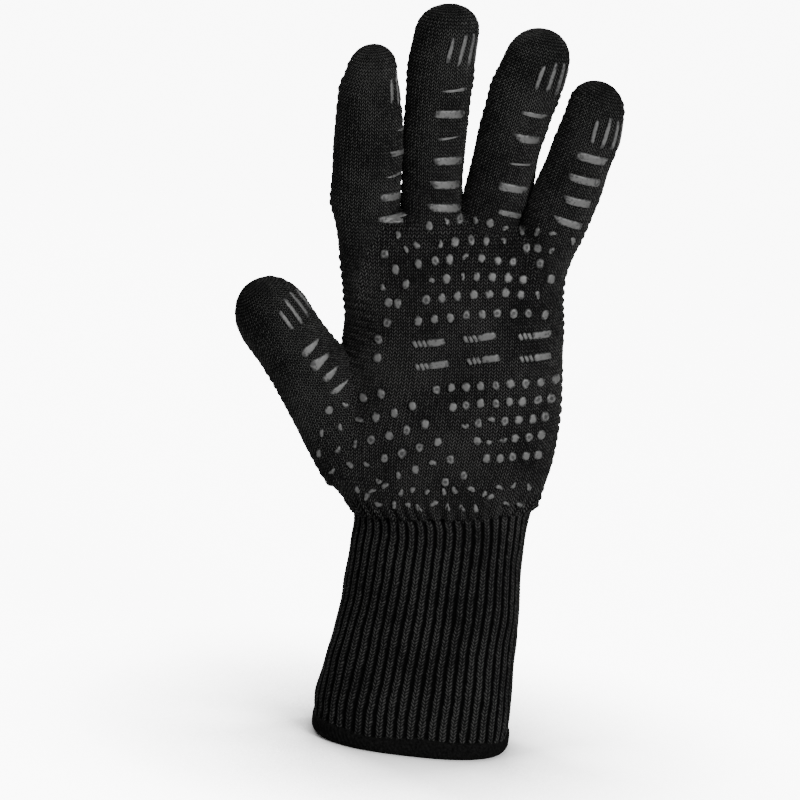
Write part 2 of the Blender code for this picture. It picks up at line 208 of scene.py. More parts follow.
@dataclass
class HandForm:
    """The smooth outer form of cuff, hand and digits, in mm, before any stitch stands on it."""

    digits: tuple = DIGITS
    # Height, middle in X, half width and half depth.
    sections: tuple = (
        (0, 0.4, 44.2, 31.2), (10, 0.4, 45.0, 31.2), (18, 0.2, 45.2, 31.0), (40, 1.2, 43.4, 29.6),
        (64, 2.8, 41.2, 28.0), (88, 3.3, 39.8, 26.6), (100, 3.6, 39.6, 25.8), (107, 3.0, 40.2, 25.8),
        (114, 0.0, 43.6, 26.6), (126, -1.2, 48.4, 27.2), (138, -0.4, 50.4, 27.4), (152, 0.8, 50.8, 26.8),
        (175, 0.4, 50.2, 25.2), (196, -0.8, 49.8, 24.0), (212, -3.4, 49.2, 22.6), (226, -4.8, 50.2, 21.0),
        (235, -5.0, 50.8, 18.6), (241, -5.2, 50.0, 14.4), (245, -5.5, 47.6, 8.6), (249, -5.5, 46.0, 2.0),
    )
    roundness: float = 2.4
    flatness: float = 1.45
    # X, height, reach, rise: swells and hollows of the palm.
    swells: tuple = (
        (-27, 148, 20, 2.6), (31, 146, 22, 1.8), (4, 176, 20, -1.6), (-34, 222, 10, 1.0), (-15, 226, 10, 0.9),
        (9, 226, 10, 0.9), (34, 222, 12, 1.0), (-44, 188, 12, -1.8),
    )
    # Change of phase a mm in X, Y and Z, and height: slow unevenness of the cloth.
    waves: tuple = (
        (0.11, 0.05, 0.07, 0.28), (-0.06, 0.09, 0.13, 0.22), (0.19, -0.11, 0.05, 0.16),
        (0.03, 0.14, -0.21, 0.14), (0.24, 0.17, 0.31, 0.08), (-0.33, 0.12, 0.22, 0.07),
    )
    top: float = 248.5
    thumb_fillet: float = 4.0
    finger_fillet: float = 1.2
    knuckle_fillet: float = 6.0

    def __post_init__(self) -> None:
        """Spreads the sections over a fine table and rounds off its corners."""
        rows = np.array(self.sections, float)
        self.heights = np.arange(-10.0, 262.0, 1.0)
        window = np.hanning(11)
        window /= window.sum()
        self.table = []
        for column in rows.T[1:]:
            values = np.interp(self.heights, rows[:, 0], column)
            padded = np.pad(values, 5, mode="edge")
            self.table.append(np.convolve(padded, window, mode="valid"))

    def section(self, z: np.ndarray) -> list:
        """Returns the middle, half width and half depth at each height."""
        return [np.interp(z, self.heights, column) for column in self.table]

    def trunk(self, points: np.ndarray) -> np.ndarray:
        """Returns how far each point is outside the cuff and hand, digits left out."""
        x, y, z = points[..., 0], points[..., 1], points[..., 2]
        middle, half_width, half_depth = self.section(z)
        n = self.roundness
        side = x - middle
        share = ((np.abs(side) / half_width) ** n + (np.abs(y) / half_depth) ** n) ** (1 / n)
        gap = np.maximum(outside(np.sqrt(side ** 2 + y ** 2), share), z - self.top)
        facing = smooth(-y / 14)
        for left, height, reach, rise in self.swells:
            gap = gap - rise * facing * np.exp(-((x - left) ** 2 + (z - height) ** 2) / reach ** 2)
        return gap

    def wobble(self, points: np.ndarray) -> np.ndarray:
        """Returns the cloth's slow unevenness, in mm."""
        total = np.zeros(points.shape[:-1])
        for i, (a, b, c, lift) in enumerate(self.waves):
            total += lift * np.sin(points[..., 0] * a + points[..., 1] * b + points[..., 2] * c + 1.7 * i)
        return total

    def whole(self, points: np.ndarray, near: tuple | None = None) -> np.ndarray:
        """Joins trunk and digits.

        Args:
            points: Where to measure, in mm.
            near: The digits to take in; all of them when left out.

        Returns:
            How far each point is outside the glove's smooth form.
        """
        gap = self.trunk(points)
        fingers = None
        for digit in self.digits if near is None else near:
            own = digit.distance(points)
            if digit.name == "thumb":
                gap = soft_union(gap, own, self.thumb_fillet)
            else:
                fingers = own if fingers is None else soft_union(fingers, own, self.finger_fillet)
        if fingers is not None:
            gap = soft_union(gap, fingers, self.knuckle_fillet)
        return gap - self.wobble(points)

    def settle(self, origin: np.ndarray, way: np.ndarray, start: np.ndarray, near: tuple, low: float = -4,
               high: float = 7, turns: int = 9) -> np.ndarray:
        """Slides points along rays until they lie on the form.

        Args:
            origin: Where each ray starts.
            way: Each ray's direction.
            start: A first guess at the distance along each ray.
            near: The digits that take part.
            low: The least change from that guess.
            high: The largest change from it.
            turns: How many steps to take.

        Returns:
            The points.
        """
        reach = start.copy()
        for _ in range(turns):
            gap = self.whole(origin + way * reach[..., None], near)
            reach = np.clip(reach - 0.9 * gap, start + low, start + high)
        return origin + way * reach[..., None]

    def outward(self, points: np.ndarray, near: tuple | None = None) -> np.ndarray:
        """Returns the form's outward direction at points on it."""
        steps = np.eye(3) * 0.25
        slope = [self.whole(points + step, near) - self.whole(points - step, near) for step in steps]
        slope = np.stack(slope, axis=-1)
        return slope / np.maximum(np.linalg.norm(slope, axis=-1, keepdims=True), 1e-9)


def into_frame(points: np.ndarray) -> np.ndarray:
    """Turns points from the hand's own frame, in mm, into the row frame, in metres."""
    return points * MM + HEM_MIDDLE


def hem_middle() -> np.ndarray:
    """Returns the middle of the hem on the ground, where the hand's own frame has its origin."""
    low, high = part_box("cuff_hem_binding")
    return np.array([(low.x + high.x) / 2, (low.y + high.y) / 2, low.z])


HEM_MIDDLE = hem_middle()


def place_in_scene(name: str, data: bpy.types.ID) -> bpy.types.Object:
    """Makes an object of a mesh, a light or a camera and puts it in the scene."""
    made = bpy.data.objects.new(name, data)
    bpy.context.scene.collection.objects.link(made)
    return made


def grid_normals(points: np.ndarray, wrap: bool) -> np.ndarray:
    """Works out the direction out of a grid of points.

    Args:
        points: Rows by columns by 3; columns run anticlockwise seen from the row direction's far end.
        wrap: Whether the last column meets the first.

    Returns:
        A unit vector for each point.
    """
    if wrap:
        along_columns = np.roll(points, -1, axis=1) - np.roll(points, 1, axis=1)
    else:
        along_columns = np.gradient(points, axis=1)
    along_rows = np.gradient(points, axis=0)
    normal = np.cross(along_columns, along_rows)
    return normal / np.maximum(np.linalg.norm(normal, axis=-1, keepdims=True), 1e-9)


def mesh_from_grid(name: str, points: np.ndarray, wale: np.ndarray, course: np.ndarray, keep: np.ndarray,
                   wrap: bool, cap: bool = False) -> bpy.types.Object:
    """Makes an object from a grid of points.

    Args:
        name: The object's name.
        points: Rows by columns by 3, in mm in the hand's own frame.
        wale: Stitch count round the tube for each column, one more than there are columns if it wraps.
        course: Stitch count along the tube for each row.
        keep: Rows by columns, true where a point's faces stay.
        wrap: Whether the last column meets the first.
        cap: Whether a face closes the last row.

    Returns:
        The object, at the origin, with a UV map in stitches named knit.
    """
    rows, columns = points.shape[:2]
    across = columns if wrap else columns - 1
    i, j = np.meshgrid(np.arange(rows - 1), np.arange(across), indexing="ij")
    i, j = i.ravel(), j.ravel()
    following = (j + 1) % columns
    corners = np.stack([i * columns + j, i * columns + following, (i + 1) * columns + following,
                        (i + 1) * columns + j], axis=1)
    stays = keep.ravel()[corners].all(axis=1)
    corners, i, j = corners[stays], i[stays], j[stays]
    uv = np.stack([np.stack([wale[j], course[i]], 1), np.stack([wale[j + 1], course[i]], 1),
                   np.stack([wale[j + 1], course[i + 1]], 1), np.stack([wale[j], course[i + 1]], 1)], 1)
    loops, loop_uv = corners.ravel(), uv.reshape(-1, 2)
    starts = np.arange(len(corners)) * 4
    if cap:
        last = (rows - 1) * columns + np.arange(columns)
        starts = np.append(starts, len(loops))
        loops = np.concatenate([loops, last])
        loop_uv = np.concatenate([loop_uv, np.stack([wale[:columns], np.full(columns, course[-1])], 1)])
    used, loops = np.unique(loops, return_inverse=True)
    mesh = bpy.data.meshes.new(name)
    mesh.vertices.add(len(used))
    mesh.vertices.foreach_set("co", into_frame(points.reshape(-1, 3)[used]).astype(np.float32).ravel())
    mesh.loops.add(len(loops))
    mesh.loops.foreach_set("vertex_index", loops.ravel().astype(np.int32))
    mesh.polygons.add(len(starts))
    mesh.polygons.foreach_set("loop_start", starts.astype(np.int32))
    mesh.update(calc_edges=True)
    layer = mesh.uv_layers.new(name="knit")
    layer.data.foreach_set("uv", loop_uv.astype(np.float32).ravel())
    mesh.validate()
    mesh.shade_smooth()
    return place_in_scene(name, mesh)


def plain_relief(wale: np.ndarray, course: np.ndarray) -> np.ndarray:
    """Returns the rise, from 0 to 1, of plain stitches: each is a V whose legs lean outwards."""
    from_middle = np.abs(wale - np.floor(wale) - 0.5)
    edge = np.cos((from_middle - 0.22) / 0.28 * math.pi / 2)
    leg = np.where(from_middle < 0.22, 0.7 + 0.3 * from_middle / 0.22, edge)
    turn = course - PLAIN_LEAN * from_middle
    return leg * (0.68 + 0.32 * (0.5 - 0.5 * np.cos(2 * math.pi * turn)))


def rib_relief(rib: np.ndarray, course: np.ndarray) -> np.ndarray:
    """Returns the rise, from 0 to 1, of ribs with a V of yarn on each."""
    from_middle = np.abs(rib - np.floor(rib) - 0.5)
    crown = np.clip(1 - (from_middle / 0.43) ** 2.8, 0, 1) ** 0.7
    dip = 0.22 * np.exp(-((from_middle / 0.07) ** 2))
    turn = course - RIB_LEAN * from_middle
    return (crown - dip) * (0.8 + 0.2 * (0.5 - 0.5 * np.cos(2 * math.pi * turn)))


class Graph:
    """A tree of shader nodes, with short ways to add a node and feed it."""

    def __init__(self, tree: bpy.types.NodeTree) -> None:
        """Keeps the tree."""
        self.tree = tree

    def feed(self, socket: bpy.types.NodeSocket, source: object) -> None:
        """Links a socket to the source, or sets it where the source is a plain value."""
        if isinstance(source, bpy.types.NodeSocket):
            self.tree.links.new(source, socket)
        else:
            socket.default_value = source

    def add(self, kind: str, inputs: dict | None = None, **settings: object) -> bpy.types.Node:
        """Adds a node.

        Args:
            kind: Its type, after ShaderNode.
            inputs: What feeds each of its inputs, by name or place.
            settings: Its own settings.

        Returns:
            The node.
        """
        node = self.tree.nodes.new("ShaderNode" + kind)
        for name, value in settings.items():
            setattr(node, name, value)
        for key, source in (inputs or {}).items():
            self.feed(node.inputs[key], source)
        return node

    def math(self, operation: str, *sources: object) -> bpy.types.NodeSocket:
        """Adds a Math node and returns its result."""
        return self.add("Math", dict(enumerate(sources)), operation=operation).outputs[0]

    def noise(self, scale: float, detail: float, roughness: float = 0.5) -> bpy.types.NodeSocket:
        """Adds noise fixed to the piece and returns it as a factor."""
        position = self.add("TexCoord").outputs["Object"]
        return self.add("TexNoise", {"Vector": position, "Scale": scale, "Detail": detail,
                                     "Roughness": roughness}).outputs["Fac"]

    def mix(self, factor: bpy.types.NodeSocket, first: object, second: object) -> bpy.types.NodeSocket:
        """Mixes two colours and returns the result."""
        return self.add("MixRGB", {"Fac": factor, "Color1": first, "Color2": second}).outputs["Color"]

    def ramp(self, factor: bpy.types.NodeSocket, *stops: tuple) -> bpy.types.NodeSocket:
        """Adds a colour ramp and returns its colour. A stop is a position and a colour, its ends first."""
        node = self.add("ValToRGB", {"Fac": factor})
        elements = node.color_ramp.elements
        for place, (position, colour) in enumerate(stops):
            element = elements[place] if place < 2 else elements.new(position)
            element.position, element.color = position, colour
        return node.outputs["Color"]

    def bump(self, height: bpy.types.NodeSocket, strength: float, distance: float,
             invert: bool = False) -> bpy.types.NodeSocket:
        """Adds a bump and returns its normal."""
        return self.add("Bump", {"Height": height, "Strength": strength, "Distance": distance},
                        invert=invert).outputs["Normal"]


def blank_material(name: str) -> tuple:
    """Returns a new material, its graph and its shader's inputs."""
    material = bpy.data.materials.new(name)
    material.use_nodes = True
    return material, Graph(material.node_tree), material.node_tree.nodes["Principled BSDF"].inputs


@dataclass(frozen=True)
class KnitFinish:
    """Black yarn and a soft fuzz, with painted shade in the gaps between its stitches and a painted highlight
    on their crests.
    """

    name: str
    weave: Weave
    # The yarn's own colour, a painted highlight for the stitch crests, and painted shade for the gaps between
    # stitches.
    yarn: tuple = (0.0056, 0.0056, 0.0057, 1)
    painted_crest_highlight: tuple = (0.042, 0.042, 0.0405, 1)
    gap: tuple = (0.0005, 0.0005, 0.0005, 1)
    rise: float = 0.00045

    def make(self) -> bpy.types.Material:
        """Returns the material."""
        material, graph, shader = blank_material(self.name)
        if self.weave is Weave.PLAIN:
            lean, hollow, leg_middle, leg_width = PLAIN_LEAN, 0.5, 0.26, 0.3
        else:
            lean, hollow, leg_middle, leg_width = RIB_LEAN, 0.34, 0.16, 0.21
        split = graph.add("SeparateXYZ", {0: graph.add("UVMap", uv_map="knit").outputs["UV"]})
        jitter = graph.math("MULTIPLY", graph.math("SUBTRACT", graph.noise(420, 3), 0.5), 0.35)
        across = graph.math("ADD", split.outputs["X"], jitter)
        from_middle = graph.math("ABSOLUTE", graph.math("SUBTRACT", graph.math("FRACT", across), 0.5))
        course = graph.math("SUBTRACT", split.outputs["Y"], graph.math("MULTIPLY", from_middle, lean))
        turn = graph.math("MULTIPLY", course, 2 * math.pi)
        loop = graph.math("MULTIPLY_ADD", graph.math("COSINE", turn), -hollow, 1 - hollow)
        apart = graph.math("DIVIDE", graph.math("SUBTRACT", from_middle, leg_middle), leg_width)
        leg = graph.math("SUBTRACT", 1.0, graph.math("MULTIPLY", apart, apart))
        height = graph.math("MULTIPLY", graph.math("MAXIMUM", leg, 0.0), loop)
        cell = graph.add("CombineXYZ", {"X": graph.math("FLOOR", graph.math("MULTIPLY", across, 2.0)),
                                        "Y": graph.math("FLOOR", course)})
        each = graph.add("TexWhiteNoise", {"Vector": cell.outputs[0]}, noise_dimensions="2D")
        loud = graph.math("MULTIPLY_ADD", each.outputs["Value"], 0.3, 0.75)
        fibre = graph.math("MULTIPLY", graph.noise(2600, 4, 0.7), 0.5)
        full = graph.math("ADD", graph.math("MULTIPLY", height, loud), fibre)
        shade = graph.math("MULTIPLY", full, graph.math("MULTIPLY_ADD", graph.noise(38, 3), 0.7, 0.5))
        # From the stitch height, the ramp paints shade into the gaps and a highlight on the crests.
        colour = graph.ramp(shade, (0.22, self.gap), (1.2 / 1.3, self.painted_crest_highlight), (0.62, self.yarn))
        graph.feed(shader["Base Color"], colour)
        graph.feed(shader["Normal"], graph.bump(full, 0.75, self.rise))
        shader["Roughness"].default_value = 0.92
        shader["Specular IOR Level"].default_value = 0.03
        shader["Sheen Weight"].default_value = 0.006
        shader["Sheen Roughness"].default_value = 0.5
        return material


@dataclass(frozen=True)
class SiliconeFinish:
    """Grey printed silicone, thin and matt, with pinholes and rubbed edges."""

    name: str = "printed_silicone"
    colour: tuple = (0.026, 0.026, 0.0255, 1)
    pale: tuple = (0.075, 0.075, 0.0735, 1)
    bare: tuple = (0.006, 0.006, 0.006, 1)

    def make(self) -> bpy.types.Material:
        """Returns the material."""
        material, graph, shader = blank_material(self.name)
        tone = graph.mix(graph.noise(560, 5, 0.65), self.colour, self.pale)
        rim = graph.add("Attribute", attribute_name="rim")
        wear = graph.math("MULTIPLY_ADD", rim.outputs["Fac"], 0.32, graph.noise(800, 3))
        hole = graph.add("MapRange", {"Value": wear, "From Min": 0.62, "From Max": 0.72})
        graph.feed(shader["Base Color"], graph.mix(hole.outputs[0], tone, self.bare))
        graph.feed(shader["Normal"], graph.bump(wear, 0.5, 0.0003, invert=True))
        shader["Roughness"].default_value = 0.55
        return material


@dataclass(frozen=True)
class ClothFinish:
    """A plain dark cloth of fine thread, for the binding and the lining."""

    name: str
    dark: tuple
    light: tuple
    thread: float
    shine: float = 0.15

    def make(self) -> bpy.types.Material:
        """Returns the material."""
        material, graph, shader = blank_material(self.name)
        thread = graph.noise(self.thread, 5, 0.7)
        graph.feed(shader["Base Color"], graph.ramp(thread, (0.3, self.dark), (0.75, self.light)))
        graph.feed(shader["Normal"], graph.bump(thread, 0.6, 0.0004))
        shader["Roughness"].default_value = 0.9
        shader["Specular IOR Level"].default_value = self.shine
        return material


def dress(piece: bpy.types.Object, material: bpy.types.Material) -> bpy.types.Object:
    """Gives a piece its material."""
    piece.data.materials.clear()
    piece.data.materials.append(material)
    return piece


@dataclass
class Cuff:
    """The ribbed cuff, its rolled hem and the lining behind its mouth."""

    form: HandForm
    ribs: int = 50
    columns_a_rib: int = 9
    rows_a_stitch: int = 3
    stitch: float = 1.6
    bottom: float = 4.0
    seam_height: float = 110.0
    seam_rise: float = 0.13
    rib_rise: float = 1.25
    tuck: float = 6.0
    hem_top: float = 8.4
    hem_half_width: float = 2.9
    hem_columns: int = 520
    hem_rows: int = 40
    hem_stitches: int = 112
    lining_columns: int = 96
    lining_inset: float = 4.2
    lining_wall: float = 1.2

    def ring_ways(self, count: int) -> np.ndarray:
        """Returns evenly spaced points round a unit superellipse of the hand's proportions."""
        fine = np.linspace(0, 2 * math.pi, 4001)
        power = 2 / self.form.roundness
        u, v = swell(np.cos(fine), power), swell(np.sin(fine), power)
        steps = np.hypot(np.diff(u * self.form.flatness), np.diff(v))
        length = np.concatenate([[0], np.cumsum(steps)])
        places = np.arange(count) / count * length[-1]
        return np.stack([np.interp(places, length, u), np.interp(places, length, v)], 1)

    def seam(self, points: np.ndarray) -> np.ndarray:
        """Returns the height of the gathered seam, which rises towards the little finger."""
        return self.seam_height + self.seam_rise * points[..., 0]

    def shell(self, ways: np.ndarray, heights: np.ndarray, inset: float) -> np.ndarray:
        """Returns the grid of points round the trunk at each height, shrunk by inset."""
        z = heights[:, None] + 0 * ways[None, :, 0]
        middle, half_width, half_depth = self.form.section(z)
        side = ways[None, :, 0] * (half_width - inset)
        depth = ways[None, :, 1] * (half_depth - inset)
        points = np.stack([middle + side, depth, z], axis=-1)
        out = points - np.stack([middle, 0 * z, z], axis=-1)
        out /= np.linalg.norm(out, axis=-1, keepdims=True)
        return points + out * self.form.wobble(points)[..., None]

    def build_ribs(self) -> bpy.types.Object:
        """Returns the ribbed tube from the hem to just inside the hand."""
        columns = self.ribs * self.columns_a_rib
        ways = self.ring_ways(columns)
        top = self.seam_height + 44 * self.seam_rise + self.tuck
        rows = int((top - self.bottom) / self.stitch * self.rows_a_stitch)
        heights = np.linspace(self.bottom, top, rows)
        points = self.shell(ways, heights, 1.0)
        wale = np.arange(columns + 1) / self.columns_a_rib
        course = (heights - self.bottom) / self.stitch
        rise = rib_relief(wale[None, :columns], course[:, None])
        seam = self.seam(points)
        under = smooth((points[..., 2] - seam + 1.0) / 4.0)
        sway = np.sin(heights / 9.0)[:, None] * np.sin(wale[None, :columns] * 0.55 + heights[:, None] / 31)
        lift = self.rib_rise * rise * (1 - 0.5 * under) - 2.2 * under + 0.35 * sway
        points = points + grid_normals(points, True) * lift[..., None]
        keep = points[..., 2] < seam + self.tuck
        return mesh_from_grid("cuff_ribs", points, wale, course, keep, True)

    def build_hem(self) -> bpy.types.Object:
        """Returns the binding: a soft roll over the cuff's edge with a row of overlock thread."""
        turn = np.linspace(0, 2 * math.pi, self.hem_rows, endpoint=False)
        out = self.hem_half_width * swell(np.cos(turn), 0.72)
        up = self.hem_top / 2 * (1 + swell(np.sin(turn), 0.8))
        ways = self.ring_ways(self.hem_columns)
        share = np.arange(self.hem_columns) / self.hem_columns
        stitch = 0.5 + 0.5 * np.cos(2 * math.pi * (share[None, :] * self.hem_stitches + up[:, None] / 3.4))
        on_top = smooth((up[:, None] - 0.8) / 2.0) * smooth((self.hem_top - 0.2 - up[:, None]) / 1.2)
        round_cuff = share * 2 * math.pi
        sag = 0.5 * np.sin(round_cuff * 5) + 0.35 * np.sin(round_cuff * 9 + 1)
        sag = sag[None, :] * (up[:, None] / self.hem_top)
        ripple = np.sin(round_cuff * 4 + 0.6) + 0.5 * np.sin(round_cuff * 7)
        z = up[:, None] + 0.9 * ripple[None, :] * smooth(up[:, None] / 7)
        middle, half_width, half_depth = [float(v[0]) for v in self.form.section(np.array([self.bottom]))]
        grow = out[:, None] - 1.6 + 0.5 * stitch * on_top + sag
        x = middle + ways[None, :, 0] * (half_width + grow)
        points = np.stack([x, ways[None, :, 1] * (half_depth + grow), z], axis=-1)
        points = np.concatenate([points, points[:1]], axis=0)
        wale = np.arange(self.hem_columns + 1) / self.hem_columns * self.hem_stitches
        course = np.arange(self.hem_rows + 1) / 4.0
        return mesh_from_grid("hem_binding", points, wale, course, np.ones(points.shape[:2], bool), True)

    def build_lining(self) -> bpy.types.Object:
        """Returns the inner tube from the hem up to the roots of the fingers, closed at its top."""
        ways = self.ring_ways(self.lining_columns)
        heights = np.concatenate([np.linspace(2.5, 226, 90), np.linspace(228, 240, 8)])
        points = self.shell(ways, heights, self.lining_inset)
        wale = np.arange(self.lining_columns + 1.0)
        keep = np.ones(points.shape[:2], bool)
        tube = mesh_from_grid("lining", points, wale, heights / 2, keep, True, cap=True)
        wall = tube.modifiers.new("wall", "SOLIDIFY")
        wall.thickness = self.lining_wall * MM
        wall.offset = -1
        apply_modifier(tube, wall)
        return tube

    def build(self, rib: bpy.types.Material, binding: bpy.types.Material, lining: bpy.types.Material) -> None:
        """Builds the three pieces and fixes the hem to the cuff."""
        tube = dress(self.build_ribs(), rib)
        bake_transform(tube)
        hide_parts("cuff_rib_knit", "wrist_front_fold", "wrist_back_fold")
        hem = dress(self.build_hem(), binding)
        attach(hem, "cuff")
        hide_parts("cuff_hem_binding")
        inner = dress(self.build_lining(), lining)
        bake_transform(inner)
        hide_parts("hand_lining")
        LOG.info("cuff: %d ribs", self.ribs)


def apply_modifier(piece: bpy.types.Object, modifier: bpy.types.Modifier) -> None:
    """Applies one modifier to a piece."""
    bpy.ops.object.select_all(action="DESELECT")
    piece.select_set(True)
    bpy.context.view_layer.objects.active = piece
    bpy.ops.object.modifier_apply(modifier=modifier.name)
    piece.select_set(False)


def scallop(along: np.ndarray, side: np.ndarray) -> np.ndarray:
    """Returns the small uneven bulges along a tube's two sides, in mm.

    Args:
        along: Distance along the tube, in mm.
        side: How far to one side, from 0 at the front and back to 1.
    """
    turn = 2 * math.pi * along / 4.2 + 1.6 * np.sin(along / 11) + 0.9 * np.sin(along / 4.7)
    tall = 0.30 + 0.18 * np.sin(along / 8.3 + 1.0) + 0.10 * np.sin(along / 3.1)
    return tall * (0.5 + 0.5 * np.cos(turn)) * side ** 6


@dataclass
class Hand:
    """The knitted hand between the wrist and the roots of the digits."""

    form: HandForm
    cuff: Cuff
    wales: int = 124
    bottom: float = 104.0
    top: float = 250.0

    def creases(self, points: np.ndarray) -> np.ndarray:
        """Returns the small ridges pressed into the palm beside the thumb and under the fingers, in mm."""
        x, z = points[..., 0], points[..., 2]
        beside = np.exp(-(((x + 42) / 12) ** 2) - ((z - 198) / 24) ** 2)
        under = np.exp(-(((z - 238) / 6) ** 2))
        fold = np.exp(-(((z - 172 - 0.45 * (x - 4)) / 2.6) ** 2)) * smooth((34 - np.abs(x - 4)) / 20)
        return (0.5 * np.sin(2 * math.pi * (z + 0.12 * x) / 3.7) * beside - 0.7 * fold
                + 0.35 * np.sin(2 * math.pi * (z - 0.2 * x) / 3.1) * under)

    def gathers(self, wale: np.ndarray, above: np.ndarray) -> np.ndarray:
        """Returns the puckers above the cuff, in mm, from the stitch count and the height over the seam."""
        folds = np.cos(2 * math.pi * wale[None, :] / 2.9 + 0.9 * np.sin(wale[None, :] / 2.3) + above / 9)
        return 1.1 * folds * smooth((15 - above) / 13)

    def build_side(self, side: Side) -> bpy.types.Object:
        """Builds the palm or the back of the hand.

        Args:
            side: Which face.

        Returns:
            The knitted piece.
        """
        total = self.wales * COLUMNS_A_WALE
        half = total // 2
        first = half if side is Side.PALM else 0
        ways = self.cuff.ring_ways(total)[np.arange(first, first + half + 1) % total]
        level = np.linspace(self.bottom, self.top, int((self.top - self.bottom) / COURSE * ROWS_A_COURSE))
        wale = (np.arange(half + 1) + first) / COLUMNS_A_WALE
        course = (level - self.bottom) / COURSE
        z = level[:, None] + math.tan(PRINT_TILT) * 50 * ways[None, :, 0]
        middle, half_width, half_depth = self.form.section(z)
        origin = np.stack([middle, 0 * z, z], axis=-1)
        out = np.stack([ways[None, :, 0] * half_width, ways[None, :, 1] * half_depth, 0 * z], axis=-1)
        start = np.linalg.norm(out, axis=-1)
        points = self.form.settle(origin, out / start[..., None], start, self.form.digits, -5, 9)
        lost = self.form.trunk(points) - np.min([d.distance(points) for d in self.form.digits], axis=0)
        above = points[..., 2] - self.cuff.seam(points)
        lift = STITCH_RISE * plain_relief(wale[None, :], course[:, None])
        lift += 1.8 * scallop(points[..., 2], np.abs(ways[None, :, 0])) + self.gathers(wale, above)
        lift += self.creases(points) * (side is Side.PALM)
        lift -= SINK * smooth(lost / SINK_OVER) + 2.4 * smooth((1.6 - above) / 2.2)
        points = points + grid_normals(points, False) * lift[..., None]
        keep = (lost < RUN_ON) & (above > -2.0)
        return mesh_from_grid(f"hand_{side.name.lower()}", points, wale, course, keep, False)

    def build(self, knit: bpy.types.Material) -> None:
        """Builds both faces and fixes them to the hand."""
        for side in Side:
            piece = dress(self.build_side(side), knit)
            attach(piece, "hand")
            if side is Side.PALM:
                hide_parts("hand_knit")
            LOG.info("%s: %d faces", piece.name, len(piece.data.polygons))


@dataclass
class DigitKnit:
    """The knitted tube of one digit, in two pieces that meet where the cloth doesn't bend."""

    form: HandForm
    digit: Digit

    def surface(self, along: np.ndarray, turn: np.ndarray) -> np.ndarray:
        """Finds points on the digit's smooth form.

        Args:
            along: Distance along the digit, measured over the dome past its end, in mm.
            turn: Angle round it from the pad, towards the across direction.

        Returns:
            The points, shaped as along and turn are.
        """
        digit = self.digit
        rise = np.clip((along - digit.end) / digit.half_depth, 0, DOME)
        base = np.minimum(along, digit.end)
        width = digit.half_width(base)
        round_way = (digit.across * (np.sin(turn) * width)[..., None]
                     + digit.pad * (np.cos(turn) * digit.half_depth)[..., None])
        out = round_way * np.cos(rise)[..., None] + digit.axis * (digit.half_depth * np.sin(rise))[..., None]
        start = np.linalg.norm(out, axis=-1)
        origin = digit.centre(base)
        return self.form.settle(origin, out / start[..., None], start, (digit,))

    def build_piece(self, name: str, low: float, high: float, cap: bool) -> bpy.types.Object:
        """Builds the knit between two distances along the digit."""
        digit = self.digit
        columns = digit.wales * COLUMNS_A_WALE
        rows = max(int(round((high - low) / COURSE * ROWS_A_COURSE)), 4)
        along = np.linspace(low, high, rows)
        turn = np.arange(columns) / columns * 2 * math.pi
        grid_along, grid_turn = np.meshgrid(along, turn, indexing="ij")
        points = self.surface(grid_along, grid_turn)
        wale = np.arange(columns + 1) / COLUMNS_A_WALE
        course = along / COURSE
        lost = digit.distance(points) - self.form.trunk(points)
        thin = 1 - 0.7 * smooth((grid_along - digit.end - digit.half_depth * 0.6) / (digit.half_depth * 0.9))
        relief = plain_relief(wale[None, :columns], course[:, None])
        lift = (STITCH_RISE * relief + scallop(grid_along, np.abs(np.sin(grid_turn)))) * thin
        lift -= SINK * smooth(lost / SINK_OVER)
        points = points + grid_normals(points, True) * lift[..., None]
        return mesh_from_grid(name, points, wale, course, lost < RUN_ON, True, cap=cap)

    def build(self, knit: bpy.types.Material) -> None:
        """Builds both pieces and bakes their placement into their meshes."""
        digit = self.digit
        over_dome = digit.end + digit.half_depth * DOME
        lower = self.build_piece(f"{digit.name}_lower", digit.deepest, digit.split, False)
        upper = self.build_piece(f"{digit.name}_upper", digit.split, over_dome, True)
        dress(lower, knit)
        dress(upper, knit)
        bend_at_root(lower)
        bend_at_middle(upper)
        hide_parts(f"{digit.name}_root_knit", f"{digit.name}_root_lining", f"{digit.name}_root_fold")
        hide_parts(f"{digit.name}_tip_knit", f"{digit.name}_tip_lining", f"{digit.name}_middle_fold")
        LOG.info("%s: %d faces", digit.name, len(lower.data.polygons) + len(upper.data.polygons))


def bend_at_root(piece: bpy.types.Object) -> None:
    """Bakes a piece's placement into its mesh."""
    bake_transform(piece)


def bend_at_middle(piece: bpy.types.Object) -> None:
    """Bakes a piece's placement into its mesh."""
    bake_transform(piece)


@dataclass
class Mark:
    """One printed dot or bar: its middle, half sizes and turn, in mm on the surface.

    A squareness of 2 is an ellipse, and more is nearer a rectangle. Bite is how much of it is hidden on the
    side bite_way, and taper is how much thinner its far end is than its middle.
    """

    across: float
    along: float
    half_across: float
    half_along: float
    turn: float = 0.0
    squareness: float = 2.0
    bite: float = 0.0
    bite_way: float = 0.0
    pinholed: bool = False
    taper: float = 0.0


